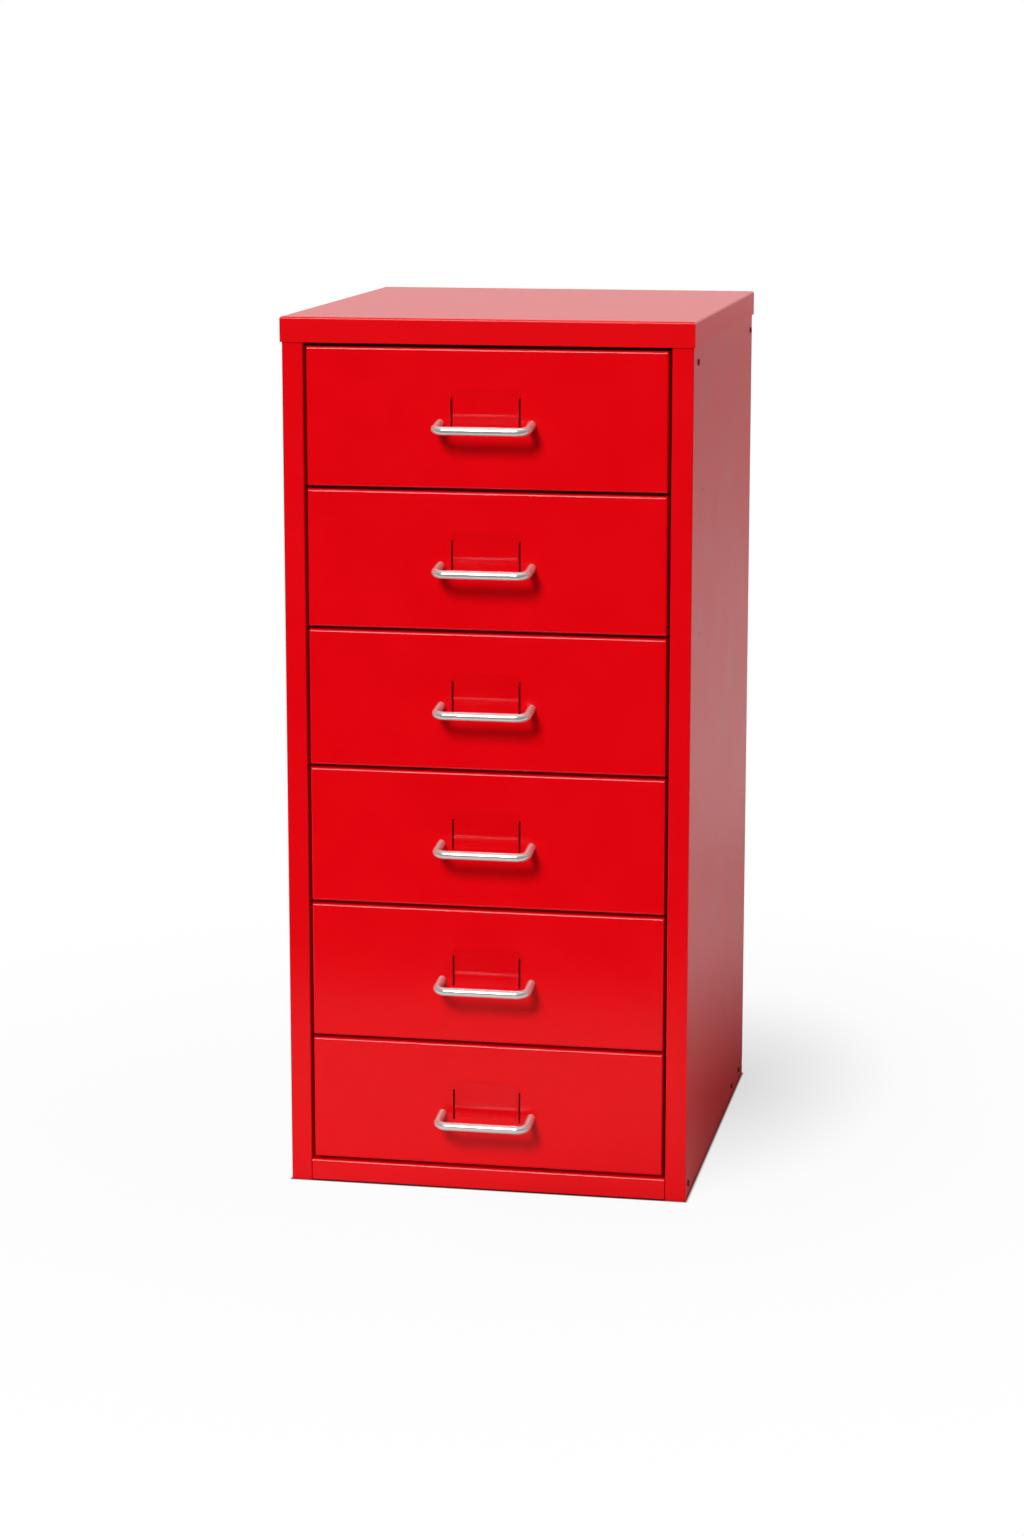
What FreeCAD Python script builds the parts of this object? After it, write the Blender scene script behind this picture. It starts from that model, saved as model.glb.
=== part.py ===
import FreeCAD, Part
import os
import Sketcher

# Small steel cabinet with six drawers: folded sheet casing, capped top, open wire pulls.
# Frame: X to the right, Y to the back, Z up. The origin is on the floor, under the middle
# of the whole object, its pulls included.

DRAWERS = 6

SIZES = {
    # Casing, over the capped top
    "cabinet_width": 280.0,
    "cabinet_depth": 320.0,
    "cabinet_height": 601.0,
    "casing_sheet": 0.8,
    # Top cover, a shallow cap that sits over the casing
    "cover_skirt": 17.0,
    "cover_fit": 0.2,
    "cover_bend": 1.6,
    # Side panels, folded into posts at the front
    "post_width": 14.5,
    "post_return": 14.0,
    "post_bend": 1.2,
    "rear_flange": 12.0,
    "top_flange": 12.0,
    "foot_flange": 20.0,
    "flange_setback": 2.0,
    "relief_bottom": 12.0,
    "relief_drop": 29.0,
    "relief_height": 10.0,
    "relief_depth": 2.0,
    # Base pan with its front rail
    "rail_top": 15.4,
    "rail_return": 12.0,
    "rail_bend": 1.8,
    "pan_wall": 18.0,
    "pan_wall_start": 3.0,
    "sheet_gap": 0.1,
    "rail_seam": 0.3,
    # Header between the side panels, and the back panel
    "header_depth": 14.0,
    "header_drop": 14.0,
    "header_ear": 34.0,
    "back_fold": 12.0,
    "back_foot_gap": 1.0,
    # Drawer fronts and the gaps round them
    "last_front_cut": 7.2,
    "top_gap": 2.5,
    "front_gap": 2.1,
    "side_gap": 2.0,
    "front_return": 12.0,
    "front_bend": 1.8,
    "front_sheet": 0.8,
    # Drawer trays
    "tray_sheet": 0.8,
    "tray_inset": 4.5,
    "tray_rim_drop": 3.0,
    "tray_foot_gap": 0.2,
    "tray_bend": 0.8,
    "tray_rim_reach": 1.2,
    "tray_rim_start": 1.0,
    "tray_stop_height": 2.2,
    "tray_stop_width": 4.0,
    "tray_stop_setback": 28.4,
    "tray_window_margin": 2.5,
    "tray_slot_margin": 0.3,
    # Runners
    "runner_sheet": 0.8,
    "runner_inner": 4.0,
    "runner_start": 31.0,
    "runner_end_gap": 16.0,
    "runner_tray_gap": 1.0,
    "runner_play": 0.3,
    "runner_stop_play": 0.6,
    "stop_play": 0.5,
    # Wire pull
    "pull_pitch": 62.4,
    "pull_wire": 5.7,
    "pull_reach": 21.0,
    "pull_sag": 2.7,
    "pull_bend": 6.9,
    "pull_drop": 50.0,
    # Label holder
    "holder_sheet": 0.6,
    "holder_stand": 1.0,
    "holder_width": 47.0,
    "holder_top_drop": 26.5,
    "holder_corner": 4.0,
    "holder_ear_reach": 2.2,
    "holder_ear_drop": 4.2,
    "holder_ear_height": 2.0,
    "holder_bend_drop": 44.0,
    "holder_lip_height": 7.0,
    "holder_lip_reach": 1.3,
    "holder_rib_radius": 0.75,
    "holder_rib_inset": 0.5,
    "holder_leg_top": 35.0,
    "holder_leg_bottom": 50.0,
    "holder_leg_inset": 0.3,
    "holder_leg_reach": 1.9,
    "holder_hook": 0.9,
    "slot_play": 0.2,
    "slot_outer_play": 0.1,
    "slot_top": 32.5,
    "slot_bottom": 54.0,
    # Screws
    "screw_play": 0.2,
    "pull_screw_radius": 1.5,
    "pull_screw_depth": 6.0,
    "pull_screw_head_radius": 3.2,
    "pull_screw_head": 2.0,
    "pull_screw_end_gap": 1.0,
    "case_screw_radius": 1.3,
    "case_screw_length": 6.0,
    "case_screw_head_radius": 2.2,
    "case_screw_head": 0.7,
    "base_screw_height": 9.5,
    "base_screw_front": 13.0,
    "base_screw_middle_setback": 66.0,
    "base_screw_back_setback": 22.0,
    "header_screw_depth": 22.5,
    "header_screw_drop": 28.0,
    "back_screw_setback": 9.0,
    "back_screw_inset": 6.0,
    "back_screw_end": 40.0,
    # One overrun serves all cuts that pass through
    "overrun": 2.0,
}

doc = FreeCAD.newDocument("drawer_cabinet")
sheet = doc.addObject("Spreadsheet::Sheet", "dims")
for row, (alias, size) in enumerate(SIZES.items(), start=1):
    sheet.set(f"A{row}", alias)
    sheet.set(f"B{row}", str(size))
    sheet.setAlias(f"B{row}", alias)
doc.recompute()


# Values worked out from the sheet, as expressions

def size(name):
    return f"dims.{name}"


def add(*terms):
    return "(" + " + ".join(terms) + ")"


def less(first, *others):
    return "(" + " - ".join((first,) + others) + ")"


def minus(term):
    return f"(0 - {term})"


def half(term):
    return f"({term} / 2)"


def times(number, term):
    return f"({number} * {term})"


def value(expression):
    return float(sheet.evalExpression(expression))


case_half = less(half(size("cabinet_width")), size("casing_sheet"), size("cover_fit"))
case_inner = less(case_half, size("casing_sheet"))
case_top = less(size("cabinet_height"), size("casing_sheet"))
case_depth = less(size("cabinet_depth"), times(2, size("casing_sheet")), times(2, size("cover_fit")))
pull_front = add(size("pull_reach"), half(size("pull_wire")))
case_back = half(add(less(size("cabinet_depth"), size("casing_sheet"), size("cover_fit")), pull_front))
case_back = less(case_back, size("casing_sheet"), size("cover_fit"))
case_front = less(case_back, case_depth)
post_edge = less(case_half, size("post_width"))
cover_foot = less(size("cabinet_height"), size("cover_skirt"))
top_drawer_top = less(cover_foot, size("top_gap"))
front_half = less(post_edge, size("side_gap"))
all_fronts = less(top_drawer_top, size("rail_top"), times(DRAWERS, size("front_gap")))
front_height = f"(({all_fronts} + {size('last_front_cut')}) / {DRAWERS})"
pitch = add(front_height, size("front_gap"))
flange_start = add(case_front, size("post_return"), size("flange_setback"))
flange_end = less(case_back, size("flange_setback"))
pan_foot = size("casing_sheet")
pan_half = less(case_inner, size("sheet_gap"))
rail_half = less(post_edge, size("rail_seam"))
back_outer = less(case_back, size("casing_sheet"))
back_inner = less(back_outer, size("casing_sheet"))
tray_half = less(front_half, size("tray_inset"))
tray_front = add(case_front, size("front_sheet"))
runner_edge = add(tray_half, size("runner_tray_gap"))
runner_back = less(case_back, size("runner_end_gap"))
runner_front = add(case_front, size("runner_start"))
tray_back = less(runner_back, size("runner_sheet"), size("stop_play"))
rim_half = add(front_half, size("tray_rim_reach"))
rim_top = minus(size("tray_rim_drop"))
rim_foot = less(rim_top, size("tray_sheet"))
shelf_top = less(rim_foot, size("runner_play"))
shelf_above = add(shelf_top, size("runner_inner"))
pull_half = half(size("pull_pitch"))
holder_half = half(size("holder_width"))
leg_outer = less(holder_half, size("holder_leg_inset"))
leg_inner = less(leg_outer, size("holder_sheet"))
hook_top = minus(size("holder_leg_top"))
hook_foot = minus(half(add(size("holder_leg_top"), size("holder_leg_bottom"))))
hook_end = add(leg_outer, size("holder_hook"))
header_top = less(case_top, size("casing_sheet"))
relief_low = less(size("cabinet_height"), size("relief_drop"))


def drawer_top(number):
    return less(top_drawer_top, times(number - 1, pitch))


def drawer_height(number):
    if number < DRAWERS:
        return front_height
    return less(drawer_top(number), size("front_gap"), size("rail_top"))


def depth(behind):
    """Place measured back from the front of the casing."""
    return add(case_front, size(behind))


def mirrored(side, term):
    return term if side > 0 else minus(term)


# Small modelling steps shared by the pieces

# An edge or face counts as lying at a place within this share of the casing sheet
NEAR_SHARE = 0.1

AXES = {"x": "YZ_Plane", "y": "XZ_Plane", "z": "XY_Plane"}
NORMALS = {"x": 1, "y": -1, "z": 1}


def new_body(label):
    body = doc.addObject("PartDesign::Body", label)
    body.Label = label
    return body


def new_sketch(body, axis, at):
    """Empty sketch, square to an axis of the body, at a place along that axis."""
    sketch = body.newObject("Sketcher::SketchObject", "outline")
    plane = next(f for f in body.Origin.OriginFeatures if f.Role == AXES[axis])
    sketch.AttachmentSupport = (plane, "")
    sketch.MapMode = "FlatFace"
    sketch.setExpression("AttachmentOffset.Base.z", at if NORMALS[axis] > 0 else minus(at))
    return sketch


def hold(sketch, kind, geometry, point, term):
    """Binds one coordinate of a sketch point to an expression."""
    if term == "0":
        line = -2 if kind == "DistanceX" else -1
        sketch.addConstraint(Sketcher.Constraint("PointOnObject", geometry, point, line))
        return
    index = sketch.addConstraint(Sketcher.Constraint(kind, -1, 1, geometry, point, value(term)))
    sketch.setExpression(f"Constraints[{index}]", term)


def draw_outline(sketch, points):
    corners = [FreeCAD.Vector(value(u), value(v), 0) for u, v in points]
    for start, end in zip(corners, corners[1:] + corners[:1]):
        sketch.addGeometry(Part.LineSegment(start, end))
    count = len(points)
    for index in range(count):
        following = (index + 1) % count
        sketch.addConstraint(Sketcher.Constraint("Coincident", index, 2, following, 1))
    for index, (u, v) in enumerate(points):
        hold(sketch, "DistanceX", index, 1, u)
        hold(sketch, "DistanceY", index, 1, v)


def draw_circle(sketch, u, v, radius):
    centre = FreeCAD.Vector(value(u), value(v), 0)
    index = sketch.addGeometry(Part.Circle(centre, FreeCAD.Vector(0, 0, 1), value(radius)))
    hold(sketch, "DistanceX", index, 3, u)
    hold(sketch, "DistanceY", index, 3, v)
    bound = sketch.addConstraint(Sketcher.Constraint("Radius", index, value(radius)))
    sketch.setExpression(f"Constraints[{bound}]", radius)


def extrude(body, sketch, axis, length, towards=1):
    pad = body.newObject("PartDesign::Pad", "pad")
    pad.Profile = sketch
    pad.Reversed = towards * NORMALS[axis] < 0
    pad.setExpression("Length", length)
    return pad


def cut(body, sketch, axis, length, towards=1):
    pocket = body.newObject("PartDesign::Pocket", "pocket")
    pocket.Profile = sketch
    pocket.Reversed = towards * NORMALS[axis] > 0
    pocket.setExpression("Length", length)
    return pocket


def box_outline(body, low, high):
    sketch = new_sketch(body, "z", low[2])
    points = [(low[0], low[1]), (high[0], low[1]), (high[0], high[1]), (low[0], high[1])]
    draw_outline(sketch, points)
    return sketch


def plate(body, low, high):
    """Adds a flat piece between two corners."""
    return extrude(body, box_outline(body, low, high), "z", less(high[2], low[2]))


def cut_box(body, low, high):
    return cut(body, box_outline(body, low, high), "z", less(high[2], low[2]))


def bore(body, axis, at, length, centres, radius, towards=1):
    sketch = new_sketch(body, axis, at)
    for u, v in centres:
        draw_circle(sketch, u, v, radius)
    return cut(body, sketch, axis, length, towards)


def lies_at(edge, places):
    """True where the whole edge lies at the given places along the named axes."""
    bounds = edge.BoundBox
    spans = {
        "x": (bounds.XMin, bounds.XMax),
        "y": (bounds.YMin, bounds.YMax),
        "z": (bounds.ZMin, bounds.ZMax),
    }
    near = NEAR_SHARE * value(size("casing_sheet"))
    return all(abs(end - place) < near for axis, place in places.items() for end in spans[axis])


def round_edges(body, radius, places):
    """Fillets the edges that lie at any of the given places."""
    doc.recompute()
    base = body.Tip
    wanted = [{axis: value(term) for axis, term in place.items()} for place in places]
    names = [
        f"Edge{index}"
        for index, edge in enumerate(base.Shape.Edges, start=1)
        if any(lies_at(edge, place) for place in wanted)
    ]
    fillet = body.newObject("PartDesign::Fillet", "fillet")
    fillet.Base = (base, names)
    fillet.setExpression("Radius", radius)
    return fillet


def hollow(body, wall, axis, open_at):
    """Turns the solid into a shell, open on the face that lies at open_at."""
    doc.recompute()
    base = body.Tip
    place = {axis: value(open_at)}
    face = next(
        f"Face{index}" for index, face in enumerate(base.Shape.Faces, start=1) if lies_at(face, place)
    )
    shell = body.newObject("PartDesign::Thickness", "shell")
    shell.Base = (base, [face])
    shell.setExpression("Value", wall)
    shell.Reversed = True
    return shell


def put_at_height(piece, term):
    piece.setExpression("Placement.Base.z", term)


# Casing

def side_panel(label, side):
    """Side wall, folded at the front into the post and its return."""
    body = new_body(label)
    wall = size("casing_sheet")
    lip_back = depth("post_return")
    lip_inner = add(post_edge, wall)
    flange_edge = less(case_half, size("rear_flange"))
    profile = [
        (case_half, case_front),
        (case_half, case_back),
        (flange_edge, case_back),
        (flange_edge, less(case_back, wall)),
        (case_inner, less(case_back, wall)),
        (case_inner, add(case_front, wall)),
        (lip_inner, add(case_front, wall)),
        (lip_inner, lip_back),
        (post_edge, lip_back),
        (post_edge, case_front),
    ]
    sketch = new_sketch(body, "z", "0")
    draw_outline(sketch, [(mirrored(side, x), y) for x, y in profile])
    extrude(body, sketch, "z", header_top)
    round_edges(body, size("post_bend"), [
        {"x": mirrored(side, case_half), "y": case_front},
        {"x": mirrored(side, case_half), "y": case_back},
        {"x": mirrored(side, post_edge), "y": case_front},
    ])
    foot_edge = mirrored(side, less(case_half, size("foot_flange")))
    top_edge = mirrored(side, less(case_half, size("top_flange")))
    plate(body, (foot_edge, flange_start, "0"), (mirrored(side, case_inner), flange_end, wall))
    plate(body, (top_edge, flange_start, header_top), (mirrored(side, case_half), flange_end, case_top))
    fold = less(wall, size("sheet_gap"))
    round_edges(body, fold, [{"x": mirrored(side, case_half), "z": case_top}])
    outside = mirrored(side, add(case_half, size("overrun")))
    beyond = mirrored(side, less(flange_edge, size("overrun")))
    behind = add(case_back, size("overrun"))
    relief_end = add(relief_low, size("relief_height"))
    cut_box(body, (beyond, less(case_back, wall), relief_low),
            (mirrored(side, case_inner), behind, add(case_top, size("overrun"))))
    cut_box(body, (beyond, less(case_back, wall), minus(size("overrun"))),
            (mirrored(side, case_inner), behind, size("relief_bottom")))
    for low in (relief_low, less(size("relief_bottom"), half(size("relief_height")))):
        high = relief_end if low == relief_low else size("relief_bottom")
        notch = (mirrored(side, less(case_inner, wall)), less(case_back, size("relief_depth")), low)
        cut_box(body, notch, (outside, behind, high))
    radius = add(size("case_screw_radius"), half(size("screw_play")))
    bore(body, "x", mirrored(side, less(case_inner, wall)), times(3, wall), side_screw_places(), radius, side)
    bore(body, "y", less(case_back, times(2, wall)), times(3, wall), back_screw_places(side), radius)


def side_screw_places():
    """Depth and height of the screws in one side wall."""
    header_height = less(size("cabinet_height"), size("header_screw_drop"))
    return [
        (depth("base_screw_front"), size("base_screw_height")),
        (less(case_back, size("base_screw_middle_setback")), size("base_screw_height")),
        (less(case_back, size("base_screw_back_setback")), size("base_screw_height")),
        (depth("header_screw_depth"), header_height),
        (less(case_back, size("back_screw_setback")), header_height),
    ]


def back_screw_places(side):
    """Across and height of the screws in one rear flange."""
    across = mirrored(side, less(case_half, size("back_screw_inset")))
    low = size("back_screw_end")
    high = less(relief_low, size("back_screw_end"))
    return [(across, low), (across, half(add(low, high))), (across, high)]


def top_cover():
    """Cap with a skirt all round, folded down over the casing."""
    body = new_body("top_cover")
    width = half(size("cabinet_width"))
    overlap = add(size("casing_sheet"), size("cover_fit"))
    front = less(case_front, overlap)
    back = add(case_back, overlap)
    plate(body, (minus(width), front, cover_foot), (width, back, size("cabinet_height")))
    round_edges(body, size("cover_bend"), [{"z": size("cabinet_height")}])
    hollow(body, size("casing_sheet"), "z", cover_foot)


def base_pan():
    """Floor of the casing, with its front edge folded up into the bottom rail."""
    body = new_body("base_pan")
    wall = size("casing_sheet")
    floor_top = add(pan_foot, wall)
    step = add(case_front, size("post_return"), size("rail_seam"))
    back = less(back_inner, size("sheet_gap"))
    outline = [
        (minus(rail_half), case_front),
        (rail_half, case_front),
        (rail_half, step),
        (pan_half, step),
        (pan_half, back),
        (minus(pan_half), back),
        (minus(pan_half), step),
        (minus(rail_half), step),
    ]
    sketch = new_sketch(body, "z", pan_foot)
    draw_outline(sketch, outline)
    extrude(body, sketch, "z", wall)
    rail_left = minus(rail_half)
    rail_top = size("rail_top")
    plate(body, (rail_left, case_front, pan_foot), (rail_half, add(case_front, wall), rail_top))
    rail_fold = depth("rail_return")
    plate(body, (rail_left, case_front, less(rail_top, wall)), (rail_half, rail_fold, rail_top))
    for side in (1, -1):
        outer = mirrored(side, pan_half)
        inner = mirrored(side, less(pan_half, wall))
        plate(body, (inner, step, pan_foot), (outer, back, size("pan_wall")))
        plate(body, (inner, depth("pan_wall_start"), floor_top), (outer, step, size("pan_wall")))
    plate(body, (minus(pan_half), less(back, wall), pan_foot), (pan_half, back, size("pan_wall")))
    round_edges(body, size("rail_bend"), [{"y": case_front, "z": size("rail_top")}])
    radius = add(size("case_screw_radius"), half(size("screw_play")))
    for side in (1, -1):
        start = mirrored(side, less(pan_half, times(2, wall)))
        bore(body, "x", start, times(3, wall), side_screw_places()[:3], radius, side)


def header_rail():
    """Cross member behind the top gap, with an ear at each end for its screw."""
    body = new_body("header_rail")
    wall = size("casing_sheet")
    back = add(flange_start, size("header_depth"))
    left = minus(pan_half)
    web_back = add(flange_start, wall)
    web_foot = less(header_top, size("header_drop"))
    plate(body, (left, flange_start, less(header_top, wall)), (pan_half, back, header_top))
    plate(body, (left, flange_start, web_foot), (pan_half, web_back, header_top))
    radius = add(size("case_screw_radius"), half(size("screw_play")))
    for side in (1, -1):
        outer = mirrored(side, pan_half)
        inner = mirrored(side, less(pan_half, wall))
        plate(body, (inner, flange_start, less(header_top, size("header_ear"))), (outer, back, header_top))
        start = mirrored(side, less(pan_half, times(2, wall)))
        bore(body, "x", start, times(3, wall), side_screw_places()[3:4], radius, side)


def back_panel():
    """Back wall inside the rear flanges, folded forwards along both sides."""
    body = new_body("back_panel")
    wall = size("casing_sheet")
    low = add(pan_foot, wall, size("back_foot_gap"))
    high = less(case_top, size("back_foot_gap"))
    plate(body, (minus(pan_half), back_inner, low), (pan_half, back_outer, high))
    fold_front = less(back_outer, size("back_fold"))
    fold_low = add(size("pan_wall"), size("back_foot_gap"))
    fold_high = less(header_top, wall)
    radius = add(size("case_screw_radius"), half(size("screw_play")))
    for side in (1, -1):
        outer = mirrored(side, pan_half)
        inner = mirrored(side, less(pan_half, wall))
        plate(body, (inner, fold_front, fold_low), (outer, back_outer, fold_high))
        start = mirrored(side, less(pan_half, times(2, wall)))
        bore(body, "x", start, times(3, wall), side_screw_places()[4:], radius, side)
        bore(body, "y", less(back_inner, wall), times(3, wall), back_screw_places(side), radius)


def runner(label, side, number):
    """Channel on the side wall that carries the rim of one drawer tray."""
    body = new_body(label)
    wall = size("runner_sheet")
    low = less(shelf_top, wall)
    high = add(shelf_above, wall)
    web = less(case_inner, wall)
    profile = [
        (case_inner, low),
        (case_inner, high),
        (runner_edge, high),
        (runner_edge, shelf_above),
        (web, shelf_above),
        (web, shelf_top),
        (runner_edge, shelf_top),
        (runner_edge, low),
    ]
    sketch = new_sketch(body, "y", runner_front)
    draw_outline(sketch, [(mirrored(side, x), z) for x, z in profile])
    extrude(body, sketch, "y", less(runner_back, runner_front))
    # The back end is closed, and a tab at the front end holds the open drawer
    plate(body, (mirrored(side, runner_edge), less(runner_back, wall), low),
          (mirrored(side, case_inner), runner_back, high))
    tab_foot = add(rim_top, size("runner_stop_play"))
    plate(body, (mirrored(side, runner_edge), runner_front, tab_foot),
          (mirrored(side, rim_half), add(runner_front, wall), high))
    put_at_height(body, drawer_top(number))


# Drawers. Each piece is drawn with zero height at the top edge of its drawer front

def drawer_front(label, number):
    """Front panel, folded back on all four sides, with slots for the label holder."""
    body = new_body(label)
    height = drawer_height(number)
    back = depth("front_return")
    plate(body, (minus(front_half), case_front, minus(height)), (front_half, back, "0"))
    round_edges(body, size("front_bend"), [{"y": case_front}])
    hollow(body, size("front_sheet"), "y", back)
    start = less(case_front, size("overrun"))
    length = add(size("front_sheet"), times(2, size("overrun")))
    leg_slots(body, start, length, "0")
    pull_bores(body, start, length, 1)
    put_at_height(body, drawer_top(number))


def leg_slots(body, at, length, margin):
    """Two slots for the legs of the label holder, wider by a margin on each side."""
    for side in (1, -1):
        inner = mirrored(side, less(leg_inner, size("slot_play"), margin))
        outer = mirrored(side, add(holder_half, size("slot_outer_play"), margin))
        cut_box(body, (inner, at, minus(size("slot_bottom"))),
                (outer, add(at, length), minus(size("slot_top"))))


def pull_bores(body, at, length, towards):
    centres = [(mirrored(side, pull_half), minus(size("pull_drop"))) for side in (1, -1)]
    radius = add(size("pull_screw_radius"), half(size("screw_play")))
    bore(body, "y", at, length, centres, radius, towards)


def drawer_tray(label, number):
    """Open box behind the front, with rims that slide in the runners."""
    body = new_body(label)
    wall = size("tray_sheet")
    foot = less(add(size("front_sheet"), size("tray_foot_gap")), drawer_height(number))
    plate(body, (minus(tray_half), tray_front, foot), (tray_half, tray_back, rim_top))
    round_edges(body, size("tray_bend"), [{"z": foot}])
    inside = less(tray_half, wall)
    cut_box(body, (minus(inside), add(tray_front, wall), add(foot, wall)),
            (inside, less(tray_back, wall), add(rim_top, size("overrun"))))
    rim_start = add(depth("front_return"), size("tray_rim_start"))
    stop_front = less(tray_back, size("tray_stop_setback"))
    for side in (1, -1):
        inner = mirrored(side, less(tray_half, wall))
        outer = mirrored(side, rim_half)
        plate(body, (inner, rim_start, rim_foot), (outer, tray_back, rim_top))
        # Upright tab that meets the runner's front tab when the drawer is fully open
        plate(body, (mirrored(side, less(rim_half, size("tray_stop_width"))), stop_front, rim_foot),
              (outer, add(stop_front, wall), add(rim_top, size("tray_stop_height"))))
    # Window that leaves room for the hooks of the label holder, above the screws of the pull
    margin = size("tray_window_margin")
    window = add(hook_end, margin)
    start = less(tray_front, size("overrun"))
    length = add(wall, times(2, size("overrun")))
    cut_box(body, (minus(window), start, less(hook_foot, margin)),
            (window, add(start, length), add(hook_top, margin)))
    leg_slots(body, start, length, size("tray_slot_margin"))
    pull_bores(body, start, length, 1)
    put_at_height(body, drawer_top(number))


def wire_pull(label, number):
    """Bent wire pull, drooping a little towards its bar."""
    body = new_body(label)
    droop = f"atan({size('pull_sag')} / {size('pull_reach')})"
    arm = f"sqrt({size('pull_reach')} ^ 2 + {size('pull_sag')} ^ 2)"
    inside = size("overrun")
    across = FreeCAD.Rotation(FreeCAD.Vector(1, 0, 0), value(droop))
    path = new_sketch(body, "z", minus(size("pull_drop")))
    path.AttachmentOffset = FreeCAD.Placement(FreeCAD.Vector(), across)
    path.setExpression("AttachmentOffset.Rotation.Angle", droop)
    path.setExpression("AttachmentOffset.Base.y", case_front)
    draw_pull_path(path, arm, inside)
    section = new_sketch(body, "y", f"({case_front} + {inside} * cos({droop}))")
    section.AttachmentOffset = FreeCAD.Placement(FreeCAD.Vector(), across)
    section.setExpression("AttachmentOffset.Rotation.Angle", droop)
    section.setExpression("AttachmentOffset.Base.y", f"({inside} * sin({droop}) - {size('pull_drop')})")
    draw_circle(section, minus(pull_half), "0", half(size("pull_wire")))
    pipe = body.newObject("PartDesign::AdditivePipe", "pipe")
    pipe.Profile = section
    pipe.Spine = (path, [])
    doc.recompute()
    wide = add(pull_half, size("pull_wire"))
    low = minus(add(size("pull_drop"), size("pull_wire")))
    high = less(size("pull_wire"), size("pull_drop"))
    cut_box(body, (minus(wide), case_front, low), (wide, add(case_front, times(2, inside)), high))
    pull_bores(body, case_front, size("pull_screw_depth"), -1)
    put_at_height(body, drawer_top(number))


def draw_pull_path(sketch, arm, inside):
    """Leg, bend, bar, bend and leg of the pull, seen from above."""
    reach = value(arm)
    end = value(pull_half)
    bend = value(size("pull_bend"))
    straight = reach - bend
    middle = end - bend
    start = value(inside)
    point = FreeCAD.Vector
    sketch.addGeometry(Part.LineSegment(point(-end, start, 0), point(-end, -straight, 0)))
    for side, first, second in ((-1, 180, 270), (1, 270, 360)):
        centre = point(side * middle, -straight, 0)
        circle = Part.Circle(centre, point(0, 0, 1), bend)
        lower, upper = (FreeCAD.Units.Quantity(f"{a} deg").getValueAs("rad").Value for a in (first, second))
        sketch.addGeometry(Part.ArcOfCircle(circle, lower, upper))
        if side < 0:
            sketch.addGeometry(Part.LineSegment(point(-middle, -reach, 0), point(middle, -reach, 0)))
    sketch.addGeometry(Part.LineSegment(point(end, -straight, 0), point(end, start, 0)))
    for first, second in ((0, 1), (1, 2), (2, 3)):
        sketch.addConstraint(Sketcher.Constraint("Tangent", first, 2, second, 1))
    sketch.addConstraint(Sketcher.Constraint("Tangent", 3, 2, 4, 1))
    hold(sketch, "DistanceX", 0, 1, minus(pull_half))
    hold(sketch, "DistanceY", 0, 1, inside)
    hold(sketch, "DistanceX", 4, 2, pull_half)
    hold(sketch, "DistanceY", 4, 2, inside)
    hold(sketch, "DistanceY", 2, 1, minus(arm))
    for arc in (1, 3):
        bound = sketch.addConstraint(Sketcher.Constraint("Radius", arc, bend))
        sketch.setExpression(f"Constraints[{bound}]", size("pull_bend"))


def label_holder(label, number):
    """Clear plate in front of the label, with a ribbed bend, a lip and legs through the slots."""
    body = new_body(label)
    wall = size("holder_sheet")
    inner = less(case_front, size("holder_stand"))
    outer = less(inner, wall)
    top = minus(size("holder_top_drop"))
    bend = minus(size("holder_bend_drop"))
    lip = less(bend, size("holder_lip_height"))
    profile = [
        (outer, top),
        (inner, top),
        (inner, bend),
        (less(inner, size("holder_lip_reach")), lip),
        (less(outer, size("holder_lip_reach")), lip),
        (outer, bend),
    ]
    sketch = new_sketch(body, "x", minus(holder_half))
    draw_outline(sketch, profile)
    extrude(body, sketch, "x", size("holder_width"))
    round_edges(body, size("holder_corner"), [
        {"x": mirrored(side, holder_half), "z": top} for side in (1, -1)
    ])
    rib_half = less(holder_half, size("holder_rib_inset"))
    sketch = new_sketch(body, "x", minus(rib_half))
    draw_circle(sketch, add(outer, half(wall)), bend, size("holder_rib_radius"))
    extrude(body, sketch, "x", times(2, rib_half))
    ear_top = less(top, size("holder_ear_drop"))
    for side in (1, -1):
        edge = mirrored(side, less(holder_half, wall))
        ear = mirrored(side, add(holder_half, size("holder_ear_reach")))
        plate(body, (edge, outer, less(ear_top, size("holder_ear_height"))), (ear, inner, ear_top))
        # The upper half of each leg hooks behind the front, the lower half ends inside the slot
        near = mirrored(side, leg_inner)
        far = mirrored(side, leg_outer)
        leg_back = add(case_front, size("holder_leg_reach"))
        plate(body, (near, outer, hook_foot), (far, leg_back, hook_top))
        plate(body, (near, less(leg_back, wall), hook_foot), (mirrored(side, hook_end), leg_back, hook_top))
        leg_foot = minus(size("holder_leg_bottom"))
        in_slot = add(case_front, half(size("front_sheet")))
        plate(body, (near, less(inner, half(wall)), leg_foot), (far, in_slot, hook_foot))
    put_at_height(body, drawer_top(number))


# Screws: a head and a shank each, grouped by where they are used

def screw(label, head_radius, head, radius, length):
    """Screw with the underside of its head at its own origin, shank along its own -Z."""
    cap = doc.addObject("Part::Cylinder", label + "_head")
    cap.setExpression("Radius", head_radius)
    cap.setExpression("Height", head)
    shank = doc.addObject("Part::Cylinder", label + "_shank")
    shank.setExpression("Radius", radius)
    shank.setExpression("Height", add(length, half(head)))
    shank.setExpression("Placement.Base.z", minus(length))
    fused = doc.addObject("Part::Fuse", label)
    fused.Base = cap
    fused.Tool = shank
    return fused


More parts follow.
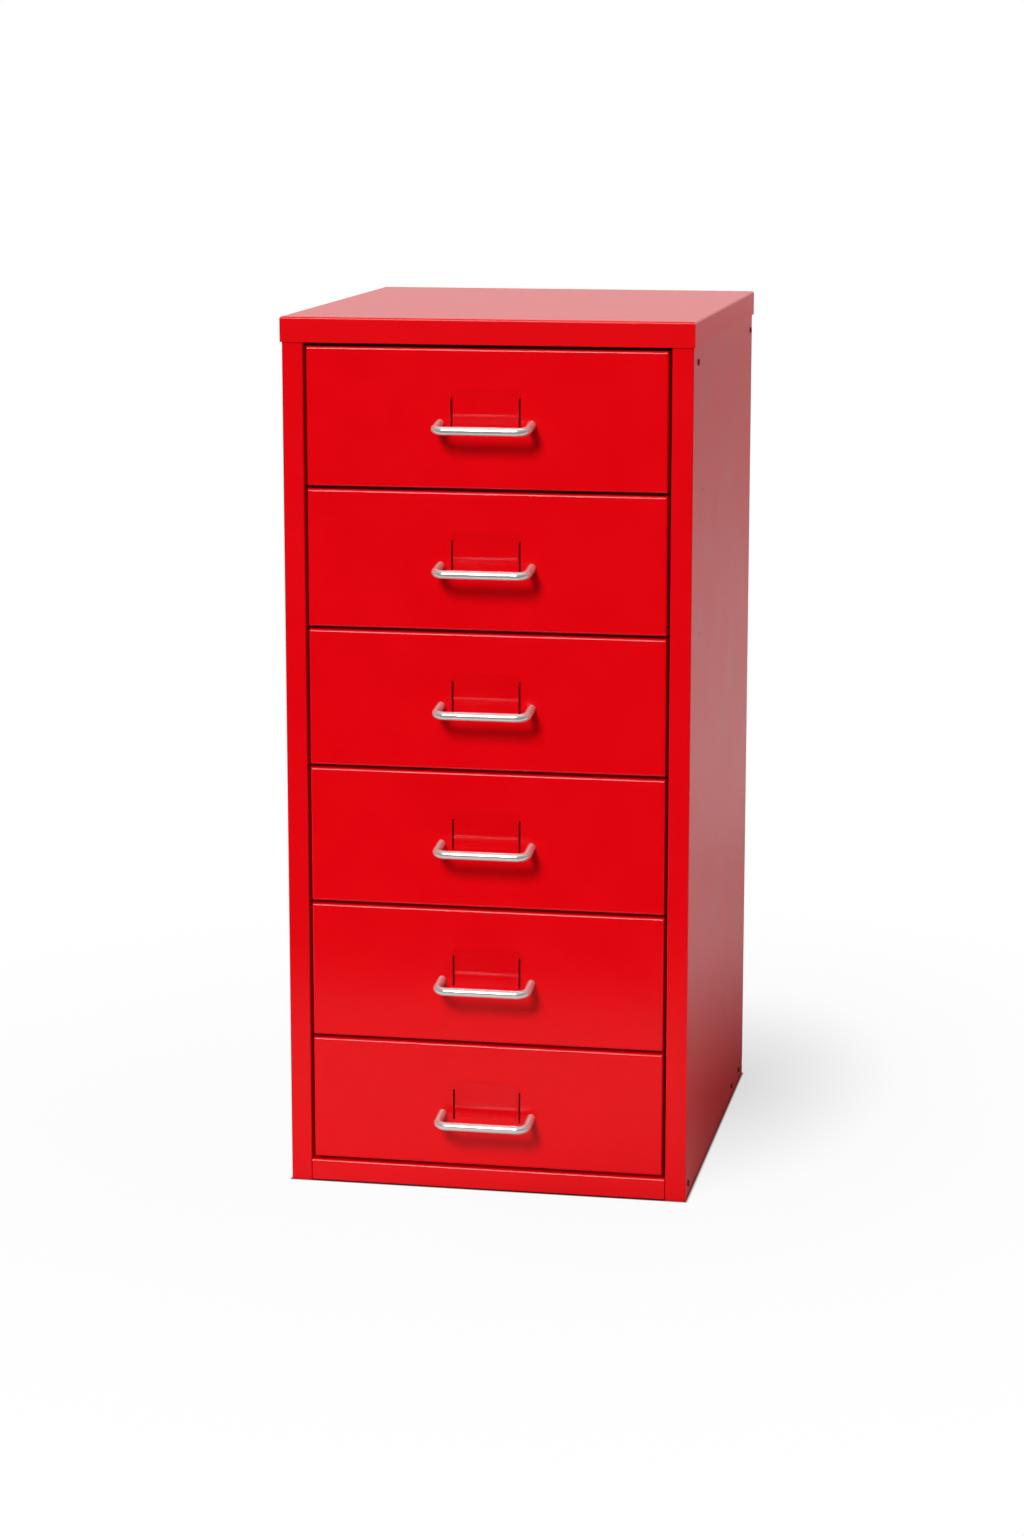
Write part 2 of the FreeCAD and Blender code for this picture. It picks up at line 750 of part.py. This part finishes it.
def screw_group(label, places, facing, kind, height="0"):
    """One node of equal screws. facing is the outward direction of their heads."""
    turn = FreeCAD.Rotation(FreeCAD.Vector(0, 0, 1), FreeCAD.Vector(*facing))
    screws = []
    for number, place in enumerate(places, start=1):
        piece = screw(f"{label}_{number}", *kind)
        piece.Placement = FreeCAD.Placement(FreeCAD.Vector(), turn)
        for axis, term in zip("xyz", place):
            piece.setExpression(f"Placement.Base.{axis}", term)
        screws.append(piece)
    group = doc.addObject("Part::Compound", label)
    group.Links = screws
    group.Label = label
    put_at_height(group, height)
    return group


def case_screw():
    return (
        size("case_screw_head_radius"), size("case_screw_head"), size("case_screw_radius"),
        size("case_screw_length"),
    )


def side_screws(label, side):
    places = [(mirrored(side, case_half), y, z) for y, z in side_screw_places()]
    return screw_group(label, places, (side, 0, 0), case_screw())


def back_screws(label):
    places = [(x, case_back, z) for side in (-1, 1) for x, z in back_screw_places(side)]
    return screw_group(label, places, (0, 1, 0), case_screw())


def pull_screws(label, number):
    """The two screws that hold a pull, put in from inside the tray."""
    seat = add(tray_front, size("tray_sheet"))
    places = [(mirrored(side, pull_half), seat, minus(size("pull_drop"))) for side in (-1, 1)]
    grip = less(size("pull_screw_depth"), size("pull_screw_end_gap"))
    length = add(size("front_sheet"), size("tray_sheet"), grip)
    radius = size("pull_screw_radius")
    kind = (size("pull_screw_head_radius"), size("pull_screw_head"), radius, length)
    return screw_group(label, places, (0, 1, 0), kind, drawer_top(number))


def build():
    side_panel("side_panel_left", -1)
    side_panel("side_panel_right", 1)
    top_cover()
    base_pan()
    header_rail()
    back_panel()
    side_screws("side_screws_left", -1)
    side_screws("side_screws_right", 1)
    back_screws("back_screws")
    for number in range(1, DRAWERS + 1):
        runner(f"runner_left_{number}", -1, number)
        runner(f"runner_right_{number}", 1, number)
        drawer_front(f"drawer_front_{number}", number)
        drawer_tray(f"drawer_tray_{number}", number)
        wire_pull(f"drawer_pull_{number}", number)
        label_holder(f"label_holder_{number}", number)
        pull_screws(f"pull_screws_{number}", number)
    doc.recompute()


def pieces():
    bodies = [thing for thing in doc.Objects if thing.isDerivedFrom("PartDesign::Body")]
    groups = [thing for thing in doc.Objects if thing.isDerivedFrom("Part::Compound")]
    return bodies + groups


def check():
    for thing in doc.Objects:
        if "Invalid" in thing.State or "Error" in thing.State:
            raise RuntimeError(f"{thing.Label} failed: {thing.State}")
    for piece in pieces():
        if piece.Shape.isNull() or not piece.Shape.isValid():
            raise RuntimeError(f"{piece.Label} has no valid shape")
        if piece.isDerivedFrom("PartDesign::Body") and len(piece.Shape.Solids) != 1:
            raise RuntimeError(f"{piece.Label} is {len(piece.Shape.Solids)} solids")


def write():
    os.makedirs("parts", exist_ok=True)
    for piece in pieces():
        piece.Shape.exportStep(os.path.join("parts", piece.Label + ".step"))
        bounds = piece.Shape.BoundBox
        print(f"{piece.Label}: {len(piece.Shape.Solids)} solid, {piece.Shape.Volume:.1f} mm3,",
              f"z {bounds.ZMin:.2f} to {bounds.ZMax:.2f}, y {bounds.YMin:.2f} to {bounds.YMax:.2f},",
              f"x {bounds.XMin:.2f} to {bounds.XMax:.2f}")


build()
check()
write()
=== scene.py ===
import math

import bpy
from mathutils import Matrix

# Looks of a small red steel drawer cabinet, in metres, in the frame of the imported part:
# X to the right, Y to the back, Z up, origin on the floor.

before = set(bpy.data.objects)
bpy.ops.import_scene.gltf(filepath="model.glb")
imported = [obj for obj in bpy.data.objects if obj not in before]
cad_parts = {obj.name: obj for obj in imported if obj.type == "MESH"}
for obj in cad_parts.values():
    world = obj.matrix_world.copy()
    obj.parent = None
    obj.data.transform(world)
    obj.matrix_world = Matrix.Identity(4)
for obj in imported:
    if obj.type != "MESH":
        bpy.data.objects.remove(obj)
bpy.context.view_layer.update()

DRAWERS = 6
WHITE = (1.0, 1.0, 1.0, 1.0)

# Camera, from a pinhole fit of the casing's edges in the photograph
PHOTO_WIDTH = 1024
PHOTO_HEIGHT = 1536
FOCAL_PIXELS = 3504.0
CAMERA_PLACE = (0.44861, -2.42933, 0.76825)
CAMERA_AZIMUTH = 0.18660
CAMERA_ELEVATION = 0.19921
SENSOR = 36.0
CLIP_END = 100.0

# Plain studio light
AMBIENT = 0.2
KEY_AIM = (0.0, -0.15, 0.30)
KEY_DISTANCE = 5.0
KEY_AZIMUTH = math.radians(14.0)
KEY_ELEVATION = math.radians(35.0)
KEY_SIZE = (1.45, 1.45)
KEY_POWER = 235.0
OVERHEAD_PLACE = (0.0, 0.5, 2.8)
OVERHEAD_AIM = (0.0, 0.3, 0.0)
OVERHEAD_SIZE = (2.4, 2.4)
OVERHEAD_POWER = 14.0
FILL_PLACE = (2.2, 0.4, 1.3)
FILL_AIM = (0.14, 0.0, 0.35)
FILL_SIZE = (1.6, 1.6)
FILL_POWER = 17.5

# In each ramp below, a value at start turns into low, and a value at end into high

# The pale sheet under the cabinet ends a little in front of it, and the room beyond is dark
FLOOR_FRONT = -0.65
FLOOR_REACH = 9.0
FAR_FLOOR_GLOW = {"low": 0.0, "high": 0.15, "start": 1.6, "end": 2.6}

# Shadow beside the cabinet: its middle, its shape, what the camera keeps of it, and the floor's tone,
# which is painted darker near its middle as a painted shadow
SHADOW_PLACE = (0.12, 0.14, 0.0)
SHADOW_STRETCH = (1.0, 0.5, 1.0)
SHADOW_KEPT = {"low": 0.38, "high": 0.06, "start": -0.01, "end": 0.14}
SHADOW_FADE = {"low": 1.0, "high": 0.0, "start": 0.30, "end": 0.75}
FLOOR_TONE_AND_PAINTED_SHADOW = {"low": 0.18, "high": 0.72, "start": 0.04, "end": 0.24}

# Painted shade: a dark line painted on the floor where the cabinet meets it
FOOT_CENTRE = (0.0, 0.0115, 0.0)
FOOT_HALF = (0.139, 0.1595, 1.0)
CONTACT_REACH = 0.0022
CONTACT_KEPT = {"low": 1.0, "high": 0.0, "start": 0.0, "end": CONTACT_REACH}
CONTACT_PAINTED_SHADE = {"low": 0.05, "high": 1.0, "start": 0.0, "end": CONTACT_REACH}

# The room as reflections see it, along Y and Z of their direction
ROOM_BACK = {"low": 0.0, "high": 0.94, "start": -0.1, "end": 0.7}
ROOM_HORIZON = {"low": 0.56, "high": 1.0, "start": -0.02, "end": 0.16}
ROOM_ABOVE = {"low": 0.0, "high": 0.5, "start": 0.45, "end": 0.9}

# Most of a noise lies in this range
NOISE_START = 0.3
NOISE_END = 0.7

# Powder coat: orange peel, and clouds in its tone and gloss
RED = (0.72, 0.0, 0.003, 1.0)
# Painted shade: a darker copy of the red coat for the pieces inside the casing
SHADED_RED = (0.42, 0.0, 0.003, 1.0)
CLOUD_SHADE = 0.965
CLOUDS = {"scale": 26.0}
PEEL = {"scale": 850.0, "detail": 3.0}
PEEL_HEIGHT = 0.0002
COATS = {
    "coat_fronts": {"colour": RED, "roughness": 0.19, "specular": 0.22},
    "coat_case": {"colour": RED, "roughness": 0.22},
    "coat_side": {"colour": RED, "roughness": 0.22, "specular": 0.22, "peel": 0.03, "marks_and_weld_shade": True},
    "coat_top": {"colour": RED, "roughness": 0.26, "specular": 0.2, "peel": 0.003, "uneven": 0.005},
    "coat_inside_painted_shade": {"colour": SHADED_RED, "roughness": 0.45},
}

# Screw heads
SCREW_GRAIN = {"scale": 1200.0}
SCREW_BUMP = {"strength": 0.05, "height": 0.0001}
SCREW_UNEVEN = 0.05
SCREWS = {
    "zinc_screw": {"colour": (0.62, 0.61, 0.58, 1.0), "roughness": 0.35, "metallic": 1.0},
    "dark_screw": {"colour": (0.03, 0.004, 0.004, 1.0), "roughness": 0.5, "metallic": 0.0},
}

# Plated wire of the pulls
WIRE_DULL = (0.66, 0.655, 0.64, 1.0)
WIRE_BRIGHT = (0.78, 0.775, 0.76, 1.0)
WIRE_METALLIC = 0.6
WIRE_ROUGHNESS = {"low": 0.13, "high": 0.17}
WIRE_CLOUDS = {"scale": 60.0}
WIRE_DRAWN = {"scale": 420.0, "detail": 4.0, "roughness": 0.6}
WIRE_BUMP = {"strength": 0.015, "height": 0.0002}

# Clear plastic: the share of its shine and its tint change as it turns away from the eye. The tint is
# partly the plastic's own and partly painted shade on the plate and under its kicked-out lip
PLASTIC_SHARE = {"low": 0.002, "high": 0.25, "start": 0.10, "end": 1.0}
PLASTIC_TINT_AND_SHADE = {"low": 0.975, "high": 0.90, "start": 0.06, "end": 0.6}
PLASTIC_SHINE = (0.95, 0.95, 0.95, 1.0)
PLASTIC_ROUGHNESS = {"low": 0.08, "high": 0.12}
PLASTIC_RIPPLE = {"scale": 90.0, "detail": 1.0}
PLASTIC_BUMP = {"strength": 0.05, "height": 0.0002}

# Marks on both side walls, as place along Y and height: shallow spot welds with painted shade in
# their dimples, and nicks in the coat
WALL = 0.139
WELDS = ((-0.0926, 0.485), (-0.1066, 0.388), (0.0874, 0.273))
WELD_RADIUS = 0.0022
WELD_BUMP = 0.5
WELD_DEPTH = 0.0003
# Painted shade in the weld dimples, as a share of the dark nick colour
WELD_PAINTED_SHADE = 0.6
NICKS = ((-0.1351, 0.2946), (-0.1352, 0.338), (-0.1396, 0.161))
NICK_RADIUS = 0.0009
NICK_AND_WELD_SHADE_COLOUR = (0.05, 0.0, 0.001, 1.0)
MARK_CORE = 0.3

# Material of each piece
CASING = {
    "side_panel_left": "coat_side",
    "side_panel_right": "coat_side",
    "base_pan": "coat_case",
    "back_panel": "coat_case",
    "top_cover": "coat_top",
    "header_rail": "coat_inside_painted_shade",
    "side_screws_left": "dark_screw",
    "side_screws_right": "dark_screw",
    "back_screws": "dark_screw",
}
EACH_DRAWER = {
    "runner_left": "coat_inside_painted_shade",
    "runner_right": "coat_inside_painted_shade",
    "drawer_front": "coat_fronts",
    "drawer_tray": "coat_case",
    "drawer_pull": "plated_wire",
    "label_holder": "clear_plastic",
    "pull_screws": "zinc_screw",
}


# Node helpers

class Shader:
    """Small wrapper that adds and joins the nodes of one material or world."""

    def __init__(self, owner):
        owner.use_nodes = True
        self.tree = owner.node_tree
        self.tree.nodes.clear()

    def node(self, kind, inputs=None, **settings):
        made = self.tree.nodes.new(kind)
        for name, setting in settings.items():
            setattr(made, name, setting)
        for name, source in (inputs or {}).items():
            socket = made.inputs[name]
            if isinstance(source, bpy.types.NodeSocket):
                self.tree.links.new(source, socket)
            else:
                socket.default_value = source
        return made

    def place(self):
        return self.node("ShaderNodeTexCoord").outputs["Object"]

    def noise(self, where, scale, detail=2.0, roughness=0.5):
        inputs = {"Vector": where, "Scale": scale, "Detail": detail, "Roughness": roughness}
        return self.node("ShaderNodeTexNoise", inputs).outputs[0]

    def spread(self, source, low, high, start=0.0, end=1.0):
        """Maps a value that runs from start to end to one that runs from low to high."""
        inputs = {"Value": source, "From Min": start, "From Max": end, "To Min": low, "To Max": high}
        return self.node("ShaderNodeMapRange", inputs).outputs[0]

    def vary(self, source, low, high):
        """Maps a noise to a value that runs from low to high."""
        return self.spread(source, low, high, NOISE_START, NOISE_END)

    def number(self, step, *values):
        return self.node("ShaderNodeMath", dict(enumerate(values)), operation=step).outputs[0]

    def vector(self, step, *values):
        return self.node("ShaderNodeVectorMath", dict(enumerate(values)), operation=step).outputs[0]

    def length(self, vector):
        return self.node("ShaderNodeVectorMath", {0: vector}, operation="LENGTH").outputs["Value"]

    def distance(self, first, second):
        inputs = {0: first, 1: second}
        return self.node("ShaderNodeVectorMath", inputs, operation="DISTANCE").outputs["Value"]

    def blend(self, factor, first, second):
        inputs = {"Factor": factor, "A": first, "B": second}
        return self.node("ShaderNodeMix", inputs, data_type="RGBA").outputs["Result"]

    def bump(self, source, strength, height):
        inputs = {"Strength": strength, "Distance": height, "Height": source}
        return self.node("ShaderNodeBump", inputs).outputs[0]

    def principled(self, inputs):
        return self.node("ShaderNodeBsdfPrincipled", inputs).outputs[0]

    def clear(self, colour):
        return self.node("ShaderNodeBsdfTransparent", {"Color": colour}).outputs[0]

    def mix(self, factor, first, second):
        return self.node("ShaderNodeMixShader", {0: factor, 1: first, 2: second}).outputs[0]

    def surface(self, shown, kind="Material"):
        self.node("ShaderNodeOutput" + kind, {"Surface": shown})


def new_material(name):
    material = bpy.data.materials.new(name)
    return material, Shader(material)


# Materials

def marks(shader, where, places, radius):
    """One in the middle of each mark on the side walls, fading to zero at its rim."""
    parts = shader.node("ShaderNodeSeparateXYZ", {0: where}).outputs
    across = shader.number("ABSOLUTE", parts["X"])
    inputs = {"X": across, "Y": parts["Y"], "Z": parts["Z"]}
    folded = shader.node("ShaderNodeCombineXYZ", inputs).outputs[0]
    gaps = [shader.distance(folded, (WALL, along, height)) for along, height in places]
    least = gaps[0]
    for gap in gaps[1:]:
        least = shader.number("MINIMUM", least, gap)
    return shader.spread(least, 1.0, 0.0, MARK_CORE * radius, radius)


def powder_coat(name, colour, roughness, specular=0.25, peel=0.05, uneven=0.02, marks_and_weld_shade=False):
    """Satin powder coat: fine orange peel, slightly uneven gloss, faint tone changes, and, when
    asked, side wall marks with painted shade in the weld dimples.
    """
    material, shader = new_material(name)
    where = shader.place()
    clouds = shader.noise(where, **CLOUDS)
    shade = [CLOUD_SHADE * c for c in colour[:3]] + [1.0]
    paint = shader.blend(shader.vary(clouds, 0.0, 1.0), shade, colour)
    normal = shader.bump(shader.noise(where, **PEEL), peel, PEEL_HEIGHT)
    if marks_and_weld_shade:
        welds = marks(shader, where, WELDS, WELD_RADIUS)
        nicks = marks(shader, where, NICKS, NICK_RADIUS)
        # Painted shade darkens the weld dimples; the nicks are dark marks in the coat
        painted_weld_shade = shader.spread(welds, 0.0, WELD_PAINTED_SHADE)
        paint = shader.blend(shader.number("MAXIMUM", nicks, painted_weld_shade), paint, NICK_AND_WELD_SHADE_COLOUR)
        inputs = {"Strength": WELD_BUMP, "Distance": WELD_DEPTH, "Height": welds, "Normal": normal}
        normal = shader.node("ShaderNodeBump", inputs, invert=True).outputs[0]
    shader.surface(shader.principled({
        "Base Color": paint,
        "Roughness": shader.vary(clouds, roughness - uneven, roughness + uneven),
        "Normal": normal,
        "Specular IOR Level": specular,
    }))
    return material


def plated_wire(name):
    """Plated steel wire with faint drawing marks, between bright and satin."""
    material, shader = new_material(name)
    where = shader.place()
    clouds = shader.noise(where, **WIRE_CLOUDS)
    shader.surface(shader.principled({
        "Base Color": shader.blend(clouds, WIRE_DULL, WIRE_BRIGHT),
        "Metallic": WIRE_METALLIC,
        "Roughness": shader.vary(clouds, **WIRE_ROUGHNESS),
        "Normal": shader.bump(shader.noise(where, **WIRE_DRAWN), **WIRE_BUMP),
    }))
    return material


def clear_plastic(name):
    """Thin clear moulded plastic with a faint ripple. Shadow and diffuse rays pass it whole, while
    what the eye sees through it is dimmed by a tint that is partly painted shade.
    """
    material, shader = new_material(name)
    ripple = shader.noise(shader.place(), **PLASTIC_RIPPLE)
    normal = shader.bump(ripple, **PLASTIC_BUMP)
    shine = shader.principled({
        "Base Color": PLASTIC_SHINE,
        "Metallic": 1.0,
        "Roughness": shader.vary(ripple, **PLASTIC_ROUGHNESS),
        "Normal": normal,
    })
    turned = shader.node("ShaderNodeLayerWeight", {"Blend": 0.5, "Normal": normal}).outputs["Facing"]
    # Painted shade: seen rays through the plastic are dimmed more where it turns away, such as on the
    # lip
    tinted_and_shaded_body = shader.clear(shader.spread(turned, **PLASTIC_TINT_AND_SHADE))
    seen = shader.mix(shader.spread(turned, **PLASTIC_SHARE), tinted_and_shaded_body, shine)
    path = shader.node("ShaderNodeLightPath").outputs
    passing = shader.number("MAXIMUM", path["Is Shadow Ray"], path["Is Diffuse Ray"])
    shader.surface(shader.mix(passing, seen, shader.clear(WHITE)))
    return material


def screw_metal(name, colour, roughness, metallic):
    """Screw head with a fine grain."""
    material, shader = new_material(name)
    grain = shader.noise(shader.place(), **SCREW_GRAIN)
    shader.surface(shader.principled({
        "Base Color": colour,
        "Metallic": metallic,
        "Roughness": shader.vary(grain, roughness - SCREW_UNEVEN, roughness + SCREW_UNEVEN),
        "Normal": shader.bump(grain, **SCREW_BUMP),
    }))
    return material


def dress(node, material):
    """Gives a node of the frame its material."""
    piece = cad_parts[node]
    piece.data.materials.clear()
    piece.data.materials.append(material)


def dress_cabinet():
    made = {name: powder_coat(name, **look) for name, look in COATS.items()}
    made["plated_wire"] = plated_wire("plated_wire")
    made["clear_plastic"] = clear_plastic("clear_plastic")
    made.update({name: screw_metal(name, **look) for name, look in SCREWS.items()})
    for node, material in CASING.items():
        dress(node, made[material])
    for number in range(1, DRAWERS + 1):
        for kind, material in EACH_DRAWER.items():
            dress(f"{kind}_{number}", made[material])


# Stage

def distance_from_foot(shader, where):
    """Distance on the floor from the cabinet's foot, zero under it."""
    across = shader.vector("ABSOLUTE", shader.vector("SUBTRACT", where, FOOT_CENTRE))
    beyond = shader.vector("SUBTRACT", across, FOOT_HALF)
    return shader.length(shader.vector("MAXIMUM", beyond, (0.0, 0.0, 0.0)))


def floor_material():
    """Pale floor. The camera sees it white outside the shadow, and mirrors see its far part glow. Its
    colour is painted darker beside the cabinet and along its foot, as painted shadow.
    """
    material, shader = new_material("floor")
    where = shader.place()
    aside = shader.vector("SUBTRACT", where, SHADOW_PLACE)
    near = shader.length(shader.vector("MULTIPLY", aside, SHADOW_STRETCH))
    away = shader.length(where)
    gap = distance_from_foot(shader, where)
    shadow = shader.number(
        "MULTIPLY", shader.spread(near, **SHADOW_KEPT), shader.spread(away, **SHADOW_FADE)
    )
    kept = shader.number("MAXIMUM", shadow, shader.spread(gap, **CONTACT_KEPT))
    path = shader.node("ShaderNodeLightPath").outputs
    bleached = shader.number("SUBTRACT", 1.0, kept)
    to_camera = shader.number("MULTIPLY", bleached, path["Is Camera Ray"])
    to_gloss = shader.number("MULTIPLY", shader.spread(away, **FAR_FLOOR_GLOW), path["Is Glossy Ray"])
    # Painted shadow: the floor's colour darkens near the shadow's middle and in a thin line along the
    # foot
    tone = shader.number(
        "MULTIPLY", shader.spread(near, **FLOOR_TONE_AND_PAINTED_SHADOW), shader.spread(gap, **CONTACT_PAINTED_SHADE)
    )
    pale = shader.node("ShaderNodeBsdfDiffuse", {"Color": tone}).outputs[0]
    white = shader.node("ShaderNodeEmission", {"Color": WHITE, "Strength": 1.0}).outputs[0]
    shader.surface(shader.mix(shader.number("MAXIMUM", to_camera, to_gloss), pale, white))
    return material


def make_floor():
    mesh = bpy.data.meshes.new("floor")
    corners = ((-FLOOR_REACH, FLOOR_FRONT), (FLOOR_REACH, FLOOR_FRONT),
               (FLOOR_REACH, FLOOR_REACH), (-FLOOR_REACH, FLOOR_REACH))
    mesh.from_pydata([(x, y, 0.0) for x, y in corners], [], [(0, 1, 2, 3)])
    mesh.materials.append(floor_material())
    floor = bpy.data.objects.new("floor", mesh)
    bpy.context.collection.objects.link(floor)


def make_world():
    """Even ambient light, a white background, and a room in reflections that is dark in front."""
    world = bpy.data.worlds.new("studio")
    bpy.context.scene.world = world
    shader = Shader(world)
    path = shader.node("ShaderNodeLightPath").outputs
    way = shader.node("ShaderNodeTexCoord").outputs["Generated"]
    parts = shader.node("ShaderNodeSeparateXYZ", {0: way}).outputs
    back = shader.number(
        "MULTIPLY", shader.spread(parts["Y"], **ROOM_BACK), shader.spread(parts["Z"], **ROOM_HORIZON)
    )
    room = shader.number("ADD", back, shader.spread(parts["Z"], **ROOM_ABOVE))
    plain, mirrored, white = [
        shader.node("ShaderNodeBackground", {"Color": WHITE, "Strength": strength}).outputs[0]
        for strength in (AMBIENT, room, 1.0)
    ]
    bent = shader.number("MAXIMUM", path["Is Glossy Ray"], path["Is Transmission Ray"])
    unseen = shader.mix(bent, plain, mirrored)
    shader.surface(shader.mix(path["Is Camera Ray"], unseen, white), "World")


def add_area(name, place, aim, size, power):
    light = bpy.data.lights.new(name, "AREA")
    light.shape = "RECTANGLE"
    light.size, light.size_y = size
    light.energy = power
    lamp = bpy.data.objects.new(name, light)
    lamp.location = place
    away = [a - b for a, b in zip(place, aim)]
    flat = math.hypot(away[0], away[1])
    lamp.rotation_euler = (math.atan2(flat, away[2]), 0.0, math.atan2(away[0], -away[1]))
    lamp.visible_camera = False
    bpy.context.collection.objects.link(lamp)
    return lamp


def make_lights():
    flat = KEY_DISTANCE * math.cos(KEY_ELEVATION)
    place = (
        KEY_AIM[0] - flat * math.sin(KEY_AZIMUTH),
        KEY_AIM[1] - flat * math.cos(KEY_AZIMUTH),
        KEY_AIM[2] + KEY_DISTANCE * math.sin(KEY_ELEVATION),
    )
    add_area("key", place, KEY_AIM, KEY_SIZE, KEY_POWER)
    add_area("overhead", OVERHEAD_PLACE, OVERHEAD_AIM, OVERHEAD_SIZE, OVERHEAD_POWER)
    fill = add_area("fill", FILL_PLACE, FILL_AIM, FILL_SIZE, FILL_POWER)
    fill.visible_glossy = False


def make_camera():
    data = bpy.data.cameras.new("camera")
    data.sensor_width = SENSOR
    data.lens = FOCAL_PIXELS * SENSOR / max(PHOTO_WIDTH, PHOTO_HEIGHT)
    data.clip_end = CLIP_END
    camera = bpy.data.objects.new("camera", data)
    camera.location = CAMERA_PLACE
    camera.rotation_euler = (math.pi / 2 - CAMERA_ELEVATION, 0.0, CAMERA_AZIMUTH)
    bpy.context.collection.objects.link(camera)
    bpy.context.scene.camera = camera


make_camera()
make_world()
make_lights()
make_floor()
dress_cabinet()
bpy.context.scene.view_settings.view_transform = "Standard"
